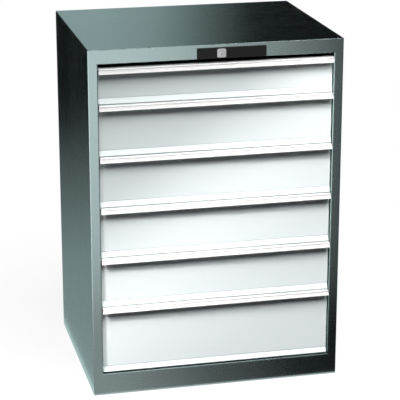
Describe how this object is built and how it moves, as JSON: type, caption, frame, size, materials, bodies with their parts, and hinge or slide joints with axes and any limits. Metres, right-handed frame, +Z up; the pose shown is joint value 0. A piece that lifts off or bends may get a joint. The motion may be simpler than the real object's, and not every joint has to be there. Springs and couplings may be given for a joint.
{
  "type": "drawer cabinet",
  "caption": "Steel drawer cabinet with full-width pull-rail drawers on roller runners and a turning lock that bars every drawer.",
  "frame": {"origin": "middle of the whole cabinet on the floor: centre of its box in X and Y, underside of the base in Z", "axes": "+X to the right seen from the front, +Y from the drawer fronts to the back, +Z up"},
  "size_m": [0.717, 0.5816, 1],
  "materials": {
    "frame_paint": "fine-grained powder coat, grey-green, satin",
    "front_paint": "fine-grained powder coat, very light grey, satin",
    "tray_paint": "powder coat, light grey, satin",
    "handle_aluminium": "extruded and anodised, satin",
    "label_paper": "matt white card",
    "clear_cover": "clear strip, smooth",
    "lock_plate_plastic": "black, finely grained",
    "lock_chrome": "nickel plated, polished",
    "zinc_steel": "zinc plated sheet"
  },
  "bodies": {
    "housing": {"side_panel_right": "frame_paint", "side_panel_left": "frame_paint", "top_panel": "frame_paint", "base_plate": "frame_paint", "rear_panel": "frame_paint", "rear_panel_screws": "zinc_steel", "header_rail": "frame_paint", "sill_rail": "frame_paint", "uprights_front": "zinc_steel", "uprights_rear": "zinc_steel", "cabinet_runners_right": "zinc_steel", "cabinet_runners_left": "zinc_steel", "lock_plate": "lock_plate_plastic", "lock_housing": "lock_chrome", "lock_guides": "zinc_steel"},
    "lock_cylinder": {"lock_cylinder": "lock_chrome"},
    "lock_rod": {"lock_rod": "zinc_steel"},
    "locking_bar": {"locking_bar": "zinc_steel"},
    "drawer_1": {"drawer_1_tray": "tray_paint", "drawer_1_front": "front_paint", "drawer_1_handle": "handle_aluminium", "drawer_1_label": "label_paper", "drawer_1_label_cover": "clear_cover", "drawer_1_runners": "zinc_steel"},
    "drawer_1_carriage": {"drawer_1_carriages": "zinc_steel"},
    "drawer_2": {"drawer_2_tray": "tray_paint", "drawer_2_front": "front_paint", "drawer_2_handle": "handle_aluminium", "drawer_2_label": "label_paper", "drawer_2_label_cover": "clear_cover", "drawer_2_runners": "zinc_steel"},
    "drawer_2_carriage": {"drawer_2_carriages": "zinc_steel"},
    "drawer_3": {"drawer_3_tray": "tray_paint", "drawer_3_front": "front_paint", "drawer_3_handle": "handle_aluminium", "drawer_3_label": "label_paper", "drawer_3_label_cover": "clear_cover", "drawer_3_runners": "zinc_steel"},
    "drawer_3_carriage": {"drawer_3_carriages": "zinc_steel"},
    "drawer_4": {"drawer_4_tray": "tray_paint", "drawer_4_front": "front_paint", "drawer_4_handle": "handle_aluminium", "drawer_4_label": "label_paper", "drawer_4_label_cover": "clear_cover", "drawer_4_runners": "zinc_steel"},
    "drawer_4_carriage": {"drawer_4_carriages": "zinc_steel"},
    "drawer_5": {"drawer_5_tray": "tray_paint", "drawer_5_front": "front_paint", "drawer_5_handle": "handle_aluminium", "drawer_5_label": "label_paper", "drawer_5_label_cover": "clear_cover", "drawer_5_runners": "zinc_steel"},
    "drawer_5_carriage": {"drawer_5_carriages": "zinc_steel"},
    "drawer_6": {"drawer_6_tray": "tray_paint", "drawer_6_front": "front_paint", "drawer_6_handle": "handle_aluminium", "drawer_6_label": "label_paper", "drawer_6_label_cover": "clear_cover", "drawer_6_runners": "zinc_steel"},
    "drawer_6_carriage": {"drawer_6_carriages": "zinc_steel"}
  },
  "joints": [
    {"name": "drawer_1_slide", "type": "slide", "parent": "housing", "child": "drawer_1", "axis": [0, -1, 0], "range_m": [0, 0.475]},
    {"name": "drawer_1_carriage_slide", "type": "slide", "parent": "housing", "child": "drawer_1_carriage", "axis": [0, -1, 0], "range_m": [0, 0.2375]},
    {"name": "drawer_2_slide", "type": "slide", "parent": "housing", "child": "drawer_2", "axis": [0, -1, 0], "range_m": [0, 0.475]},
    {"name": "drawer_2_carriage_slide", "type": "slide", "parent": "housing", "child": "drawer_2_carriage", "axis": [0, -1, 0], "range_m": [0, 0.2375]},
    {"name": "drawer_3_slide", "type": "slide", "parent": "housing", "child": "drawer_3", "axis": [0, -1, 0], "range_m": [0, 0.475]},
    {"name": "drawer_3_carriage_slide", "type": "slide", "parent": "housing", "child": "drawer_3_carriage", "axis": [0, -1, 0], "range_m": [0, 0.2375]},
    {"name": "drawer_4_slide", "type": "slide", "parent": "housing", "child": "drawer_4", "axis": [0, -1, 0], "range_m": [0, 0.475]},
    {"name": "drawer_4_carriage_slide", "type": "slide", "parent": "housing", "child": "drawer_4_carriage", "axis": [0, -1, 0], "range_m": [0, 0.2375]},
    {"name": "drawer_5_slide", "type": "slide", "parent": "housing", "child": "drawer_5", "axis": [0, -1, 0], "range_m": [0, 0.475]},
    {"name": "drawer_5_carriage_slide", "type": "slide", "parent": "housing", "child": "drawer_5_carriage", "axis": [0, -1, 0], "range_m": [0, 0.2375]},
    {"name": "drawer_6_slide", "type": "slide", "parent": "housing", "child": "drawer_6", "axis": [0, -1, 0], "range_m": [0, 0.475]},
    {"name": "drawer_6_carriage_slide", "type": "slide", "parent": "housing", "child": "drawer_6_carriage", "axis": [0, -1, 0], "range_m": [0, 0.2375]},
    {"name": "locking_bar_slide", "type": "slide", "parent": "housing", "child": "locking_bar", "axis": [0, 0, 1], "range_m": [0, 0.01202]},
    {"name": "lock_rod_slide", "type": "slide", "parent": "housing", "child": "lock_rod", "axis": [-1, 0, 0], "range_m": [0, 0.01203]},
    {"name": "lock_turn", "type": "hinge", "parent": "housing", "child": "lock_cylinder", "pos_m": [0.01, -0.28601, 0.976], "axis": [0, 1, 0], "range_deg": [0, 90]}
  ],
  "couplings": [
    {"joint": "drawer_1_carriage_slide", "follows": "drawer_1_slide", "ratio": 0.5},
    {"joint": "drawer_2_carriage_slide", "follows": "drawer_2_slide", "ratio": 0.5},
    {"joint": "drawer_3_carriage_slide", "follows": "drawer_3_slide", "ratio": 0.5},
    {"joint": "drawer_4_carriage_slide", "follows": "drawer_4_slide", "ratio": 0.5},
    {"joint": "drawer_5_carriage_slide", "follows": "drawer_5_slide", "ratio": 0.5},
    {"joint": "drawer_6_carriage_slide", "follows": "drawer_6_slide", "ratio": 0.5},
    {"joint": "lock_rod_slide", "follows": "locking_bar_slide", "ratio": 1},
    {"joint": "lock_turn", "follows": "locking_bar_slide", "rad_per_m": 130.67}
  ]
}
